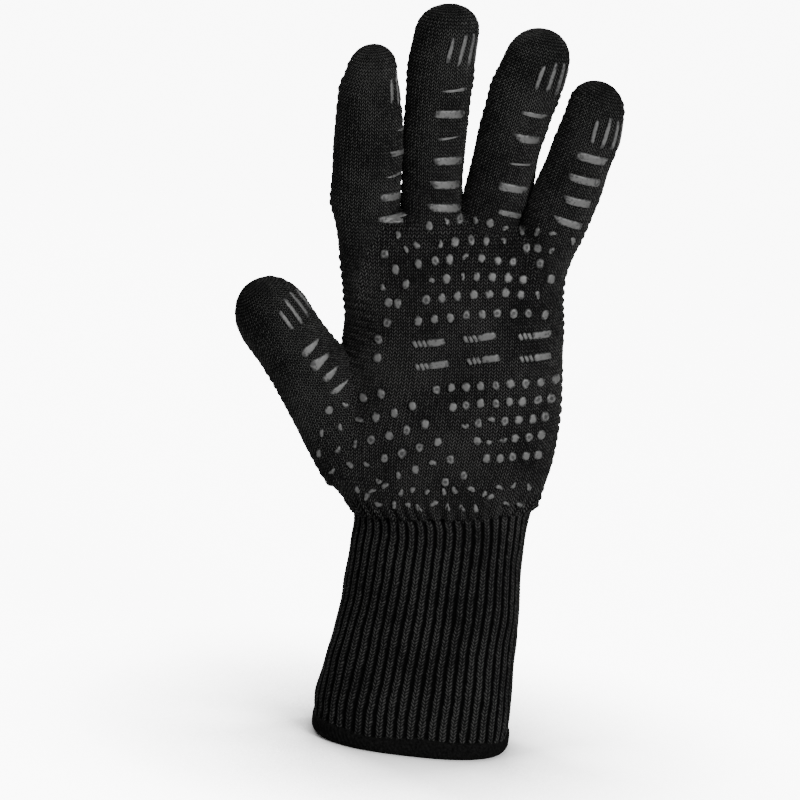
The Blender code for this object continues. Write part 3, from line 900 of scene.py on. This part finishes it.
@dataclass
class Print:
    """Raised silicone marks laid on the knit."""

    form: HandForm
    material: bpy.types.Material
    middle: tuple = (-21.4, 164.0)
    rise: float = 0.75
    lift: float = 0.35
    sides: int = 20
    # From the foot in the knit to the crown: share of the mark's size, and of its rise.
    rings: tuple = ((1.0, -0.8), (1.0, 0.35), (0.88, 1.0), (0.5, 1.06))
    rng: np.random.Generator = field(default_factory=lambda: np.random.default_rng(11))

    def stamp(self, mark: Mark) -> tuple:
        """Works out one mark's flat shape.

        Args:
            mark: The mark.

        Returns:
            Its points across and along, their heights, how near each is to the rim, and its faces.
        """
        turn = np.arange(self.sides) / self.sides * 2 * math.pi
        outline = swell(np.stack([np.cos(turn), np.sin(turn)], 1), 2 / mark.squareness)
        outline[:, 1] *= 1 - mark.taper * outline[:, 0]
        ragged = 1 + 0.11 * self.rng.standard_normal(self.sides)
        ragged = (ragged + np.roll(ragged, 1) + np.roll(ragged, -1)) / 3
        if mark.bite:
            ragged *= 1 - mark.bite * 1.75 * smooth((np.cos(turn - mark.bite_way) + 0.25) / 1.1)
        outline *= ragged[:, None] * [mark.half_across, mark.half_along]
        shares, heights = zip(*self.rings)
        flat = np.concatenate([outline * share for share in shares] + [np.zeros((1, 2))])
        tall = np.append(np.repeat(heights, self.sides), 1.1) * self.rise + self.lift
        rim = np.append(np.repeat(shares, self.sides), 1.25 * mark.pinholed)
        around = [(j, (j + 1) % self.sides) for j in range(self.sides)]
        last = (len(self.rings) - 1) * self.sides
        faces = [(low + j, low + k, low + self.sides + k, low + self.sides + j)
                 for low in range(0, last, self.sides) for j, k in around]
        faces += [(last + j, last + k, last + self.sides) for j, k in around]
        cos, sin = math.cos(mark.turn), math.sin(mark.turn)
        flat = flat @ np.array([[cos, sin], [-sin, cos]]) + [mark.across, mark.along]
        return flat, tall, rim ** 3, faces

    def lay(self, name: str, marks: list, surface: object) -> bpy.types.Object:
        """Lays marks on a surface as one piece.

        Args:
            name: The piece's name.
            marks: The marks.
            surface: A function from points across and along to points on the form and their normals.

        Returns:
            The piece.
        """
        flat, tall, rims, faces = zip(*[self.stamp(mark) for mark in marks])
        starts = np.cumsum([0] + [len(own) for own in flat])
        joined = [tuple(v + start for v in face)
                  for start, own in zip(starts.tolist(), faces) for face in own]
        points, normals = surface(np.concatenate(flat))
        points = into_frame(points + normals * np.concatenate(tall)[:, None])
        mesh = bpy.data.meshes.new(name)
        mesh.from_pydata(points.tolist(), [], joined)
        attribute = mesh.attributes.new("rim", "FLOAT", "POINT")
        attribute.data.foreach_set("value", np.concatenate(rims).astype(np.float32))
        mesh.shade_smooth()
        return dress(place_in_scene(name, mesh), self.material)

    def on_hand(self, side: Side) -> object:
        """Returns a function that finds points on the palm or the back from print places in mm."""
        def surface(flat: np.ndarray) -> tuple:
            """Drops flat print places on to the form along Y."""
            cos, sin = math.cos(PRINT_TILT), math.sin(PRINT_TILT)
            x = self.middle[0] + flat[:, 0] * cos - flat[:, 1] * sin
            z = self.middle[1] + flat[:, 0] * sin + flat[:, 1] * cos
            points = np.stack([x, np.full(len(x), 42.0 * side.value), z], 1)
            for _ in range(26):
                points[:, 1] -= side.value * 0.8 * self.form.whole(points)
            return points, self.form.outward(points)
        return surface


@dataclass(frozen=True)
class DotRow:
    """A row of dots across the print: their number, its two ends, its arch, and lone dots beside it."""

    count: int
    first: tuple
    last: tuple
    arch: float = 0.0
    beside: tuple = ()

    def places(self) -> list:
        """Returns the place of each dot, across and up the print in mm."""
        share = np.linspace(0, 1, self.count)
        ends = np.array([self.first, self.last], float)
        line = ends[0] + (ends[1] - ends[0]) * share[:, None]
        line[:, 1] += self.arch * np.sin(share * math.pi)
        return [tuple(spot) for spot in line] + list(self.beside)


@dataclass
class PalmPrint:
    """The fields of dots and bars on one face of the hand."""

    printer: Print
    side: Side
    dot_width: float = 1.88
    dot_height: float = 2.25
    upper_rows: tuple = (
        DotRow(9, (8.0, 35.3), (64.6, 37.6), 2.4, ((-10.2, 26.2), (-10.4, 18.0), (-6.0, 34.4))),
        DotRow(8, (11.5, 44.9), (61.0, 46.2), 2.0, ((-1.2, 43.1), (-5.2, 43.4))),
        DotRow(7, (13.5, 53.2), (54.9, 53.6), 2.2, ((2.7, 51.8), (-7.2, 50.2), (67.0, 53.5))),
        DotRow(7, (8.4, 60.9), (50.2, 61.4), 2.4, ((-2.1, 58.3), (62.5, 60.8))),
        DotRow(5, (17.4, 70.2), (45.0, 70.0), 0.6,
               ((-6.9, 64.8), (2.0, 67.0), (7.7, 70.0), (68.1, 66.2), (76.1, 70.9), (56.6, 67.2),
                (61.6, 67.6))),
        DotRow(5, (12.9, 77.6), (40.0, 78.2), 1.6,
               ((-2.1, 73.0), (47.4, 75.6), (54.5, 74.2), (60.5, 75.2), (68.3, 74.0))),
    )
    lower_rows: tuple = (
        DotRow(9, (16.0, 4.7), (69.4, 7.2), 0.6), DotRow(8, (23.4, -3.1), (67.7, -1.1), 0.5),
        DotRow(7, (28.8, -10.8), (65.1, -9.2), 0.4), DotRow(6, (34.6, -18.6), (63.1, -17.6), 0.3),
        DotRow(5, (39.0, -26.7), (61.8, -26.3), 0.2),
    )
    thumb_start: tuple = (5.0, -2.9)
    thumb_step: tuple = (5.8, -7.9)
    thumb_line_step: tuple = (-8.0, -2.6)
    thumb_crumpled: tuple = (0.03, 0.06, 0.12, 0.55, 0.95, 1.0, 1.0)
    # Across, up and slope.
    bars: tuple = ((12.8, 25.6, 0.12), (35.5, 28.0, 0.13), (59.8, 28.1, 0.03),
                   (13.8, 15.3, 0.13), (37.2, 17.9, 0.12), (60.5, 18.0, 0.03))
    bar_size: tuple = (7.6, 1.8)
    # The slivers that crack off a bar's left end: place along its half length, and half thickness in mm.
    slivers: tuple = ((-0.28, 0.86), (-0.54, 0.84), (-0.82, 0.92))
    wrist_rows: tuple = ((-19.0, -41.5), (-16.0, -48.6))
    wrist_end: float = 58.0
    wrist_pitch: float = 6.3

    def dot(self, spot: tuple, crumpled: float) -> Mark:
        """Returns the mark for one dot, which a crease may half hide.

        Args:
            spot: Its place across and up the print, in mm.
            crumpled: How likely it is to be caught in a crease.

        Returns:
            The mark.
        """
        rng = self.printer.rng
        caught = rng.random() < crumpled
        bite = rng.uniform(0.7, 0.98) if caught else 0.0
        narrow = rng.uniform(0.8, 1.15) if caught else rng.uniform(0.9, 1.06)
        return Mark(spot[0] + rng.normal(0, 0.22), spot[1] + rng.normal(0, 0.2), self.dot_width * narrow,
                    self.dot_height * rng.uniform(0.92, 1.06), rng.normal(0, 0.12 + 0.5 * caught), 2.1, bite,
                    rng.uniform(0, 2 * math.pi), rng.random() < 0.3)

    def dots(self, rows: tuple, crumpled: float, more: float) -> list:
        """Returns the marks of rows of dots.

        Args:
            rows: The rows.
            crumpled: How likely a dot of the first row is to be caught in a crease.
            more: How much likelier each row is than the one before.

        Returns:
            The marks.
        """
        return [self.dot(spot, crumpled + more * place)
                for place, row in enumerate(rows) for spot in row.places()]

    def thumb_base(self) -> list:
        """Returns the dots over the ball of the thumb, more and more crumpled towards the thumb."""
        marks = []
        for line, crumpled in enumerate(self.thumb_crumpled):
            for place in range(-1 if line else 0, 5):
                across = self.thumb_start[0] + place * self.thumb_step[0] + line * self.thumb_line_step[0]
                up = self.thumb_start[1] + place * self.thumb_step[1] + line * self.thumb_line_step[1]
                if up > -38 and across > -44 + 0.2 * (up + 38):
                    marks.append(self.dot((across, up), crumpled))
        return marks

    def wrist(self) -> list:
        """Returns the rows of dots that the gathers at the wrist crumple."""
        return [self.dot((across, height + self.printer.rng.normal(0, 0.9)), 1.0)
                for first, height in self.wrist_rows
                for across in np.arange(first, self.wrist_end, self.wrist_pitch)]

    def split_bars(self) -> list:
        """Returns the long bars, each with its left end cracked into slivers."""
        half_long, half_tall = self.bar_size
        whole = 0.58
        marks = []
        for across, up, slope in self.bars:
            reach = half_long * (1 - whole)
            marks.append(Mark(across + reach, up + reach * slope, half_long * whole, half_tall, slope, 5.0))
            for share, thick in self.slivers:
                reach = half_long * share
                marks.append(Mark(across + reach, up + reach * slope, thick, half_tall * 0.96,
                                  slope + 0.42, 5.0))
        return marks

    def build(self) -> None:
        """Builds the fields and fixes them to the hand."""
        surface = self.printer.on_hand(self.side)
        fields = {
            "upper_dots": (self.dots(self.upper_rows, 0.03, 0.07), "palm_upper_dot_grip"),
            "lower_dots": (self.dots(self.lower_rows, 0.05, 0.05), "palm_lower_dot_grip"),
            "thumb_base_dots": (self.thumb_base(), "thumb_base_dot_grip"),
            "wrist_dots": (self.wrist(), "wrist_dot_grip"),
            "long_bars": (self.split_bars(), "palm_bar_grip"),
        }
        for name, (marks, node) in fields.items():
            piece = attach(self.printer.lay(f"{self.side.name.lower()}_{name}", marks, surface), "hand")
            if self.side is Side.PALM:
                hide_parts(node)
        LOG.info("%s print: %d fields", self.side.name.lower(), len(fields))


@dataclass
class DigitPrint:
    """The cross bars and tip bars on a digit."""

    printer: Print
    knit: DigitKnit
    half_bar: float = 2.3
    crumpled: float = 0.6
    tip_bar: tuple = (1.0, 7.4)
    tip_sizes: tuple = (0.78, 1.0, 1.0, 0.82)
    tip_pitch: float = 5.2
    tip_lead: float = 18.0

    def surface(self, flat: np.ndarray) -> tuple:
        """Returns points on the digit and their normals, from distances round it and along it."""
        digit = self.knit.digit
        turn = flat[:, 0] / (0.5 * (digit.half_depth + digit.half_width(flat[:, 1])))
        points = self.knit.surface(flat[:, 1], turn)
        return points, self.knit.form.outward(points, (digit,))

    def build(self) -> None:
        """Builds both pieces of print and bakes their placement into their meshes."""
        digit = self.knit.digit
        radius = digit.half_depth + 0.6
        aim = math.radians(digit.print_turn - digit.pad_turn) * radius
        rng = self.printer.rng
        bars = []
        for i, full in enumerate(digit.bar_fullness):
            along = digit.length - digit.first_bar - i * digit.bar_pitch
            wide = digit.bar_length * (0.62 + 0.38 * full) * rng.uniform(0.94, 1.04)
            slide = rng.normal(0, 0.5) + (digit.bar_length - wide) * 0.6
            caught = full < self.crumpled
            slant = rng.normal(0.02, 0.05) + 0.1 * caught
            bars.append(Mark(aim + slide, along, wide, self.half_bar * full, slant,
                             4.0 - 1.6 * digit.bar_taper, 0.5 if caught else 0.16, rng.uniform(3.4, 5.4),
                             taper=digit.bar_taper))
        first_tip = aim + math.radians(self.tip_lead) * radius - 1.5 * self.tip_pitch
        tips = []
        for i, size in enumerate(self.tip_sizes):
            tips.append(Mark(first_tip + i * self.tip_pitch, digit.length - 21.0 + 2.4 * size,
                             self.tip_bar[0], self.tip_bar[1] * size, rng.normal(0, 0.03), 4.0))
        lower = [mark for mark in bars if mark.along < digit.split]
        upper = [mark for mark in bars if mark.along >= digit.split] + tips
        if lower:
            piece = self.printer.lay(f"{digit.name}_lower_bars", lower, self.surface)
            bend_at_root(piece)
            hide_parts(f"{digit.name}_root_grip")
        piece = self.printer.lay(f"{digit.name}_upper_bars", upper, self.surface)
        bend_at_middle(piece)
        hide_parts(f"{digit.name}_tip_grip")
        LOG.info("%s print: %d bars", digit.name, len(bars) + len(tips))


@dataclass
class Studio:
    """Pale floor, soft lights and the camera."""

    elevation: float = 11.0
    roll: float = 6.5
    lens: float = 150.0
    distance: float = 1.52
    aim: tuple = (-21.65, -6.0, 160.0)
    paper_glow: float = 9.0
    ambient: float = 0.42
    # Name, place in m, side in m and watts.
    lights: tuple = (
        ("key", (0.9, -1.2, 1.0), 0.45, 46), ("fill", (-0.9, -1.4, 0.5), 1.0, 4),
        ("back_rim", (-0.7, 1.2, 0.9), 0.7, 14),
    )

    def build_floor(self) -> None:
        """Lays a wide pale floor that glows to the camera, with a painted shadow near the glove where ambient
        occlusion dims the glow.
        """
        bpy.ops.object.select_all(action="DESELECT")
        bpy.ops.mesh.primitive_plane_add(size=12, location=(0, 0, 0))
        floor = bpy.context.object
        floor.name = "studio_floor"
        material, graph, shader = blank_material("studio_paper")
        shader["Base Color"].default_value = (0.9, 0.9, 0.9, 1)
        shader["Roughness"].default_value = 0.22
        shader["Emission Color"].default_value = (1, 1, 1, 1)
        seen = graph.add("LightPath").outputs["Is Camera Ray"]
        # Ambient occlusion dims the floor's glow near the glove: a painted contact shadow.
        near = graph.add("AmbientOcclusion", {"Distance": 0.16}, samples=8)
        painted_shadow = graph.math("POWER", near.outputs["AO"], 7.0)
        graph.feed(shader["Emission Strength"],
                   graph.math("MULTIPLY", graph.math("MULTIPLY", seen, self.paper_glow), painted_shadow))
        floor.data.materials.append(material)

    def add_light(self, name: str, place: tuple, size: float, power: float) -> None:
        """Hangs a square soft light that faces the glove."""
        light = bpy.data.lights.new(name, "AREA")
        light.size = size
        light.energy = power
        lamp = place_in_scene(name, light)
        lamp.location = place
        target = Vector((0, 0, 0.16))
        lamp.rotation_euler = (target - lamp.location).to_track_quat("-Z", "Y").to_euler()

    def build(self) -> None:
        """Sets up the whole studio."""
        self.build_floor()
        world = bpy.data.worlds.new("studio_white")
        world.use_nodes = True
        backdrop = world.node_tree.nodes["Background"].inputs
        backdrop["Color"].default_value = (1, 1, 1, 1)
        graph = Graph(world.node_tree)
        seen = graph.add("LightPath").outputs["Is Camera Ray"]
        graph.feed(backdrop["Strength"], graph.math("MULTIPLY_ADD", seen, self.paper_glow, self.ambient))
        bpy.context.scene.world = world
        for light in self.lights:
            self.add_light(*light)
        camera = bpy.data.cameras.new("camera")
        camera.lens = self.lens
        camera.sensor_width = 36
        seat = place_in_scene("camera", camera)
        target = Vector(into_frame(np.array(self.aim)))
        lift = math.radians(self.elevation)
        back = Vector((0, -math.cos(lift), math.sin(lift)))
        facing = (-back).to_track_quat("-Z", "Y").to_matrix().to_4x4()
        rolled = facing @ Matrix.Rotation(math.radians(self.roll), 4, "Z")
        seat.matrix_world = Matrix.Translation(target + back * self.distance) @ rolled
        bpy.context.scene.camera = seat


def main() -> None:
    """Builds the glove around the frame."""
    logging.basicConfig(level=logging.INFO, format="%(message)s")
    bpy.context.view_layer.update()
    form = HandForm()
    knit = KnitFinish("black_plain_knit", Weave.PLAIN).make()
    # The rib knit gets a dimmer painted highlight on its stitch crests.
    rib = KnitFinish("black_rib_knit", Weave.RIB, painted_crest_highlight=(0.03, 0.03, 0.029, 1), rise=0.0006).make()
    silicone = SiliconeFinish().make()
    binding = ClothFinish("black_binding", (0.0003, 0.0003, 0.0003, 1), (0.007, 0.007, 0.0069, 1), 900,
                          shine=0.02).make()
    lining = ClothFinish("grey_brushed_lining", (0.02, 0.02, 0.021, 1), (0.07, 0.07, 0.072, 1), 500).make()
    cuff = Cuff(form)
    cuff.build(rib, binding, lining)
    Hand(form, cuff).build(knit)
    printer = Print(form, silicone)
    for digit in form.digits:
        piece = DigitKnit(form, digit)
        piece.build(knit)
        DigitPrint(printer, piece).build()
    for side in Side:
        PalmPrint(printer, side).build()
    Studio().build()


if __name__ == "__main__":
    main()
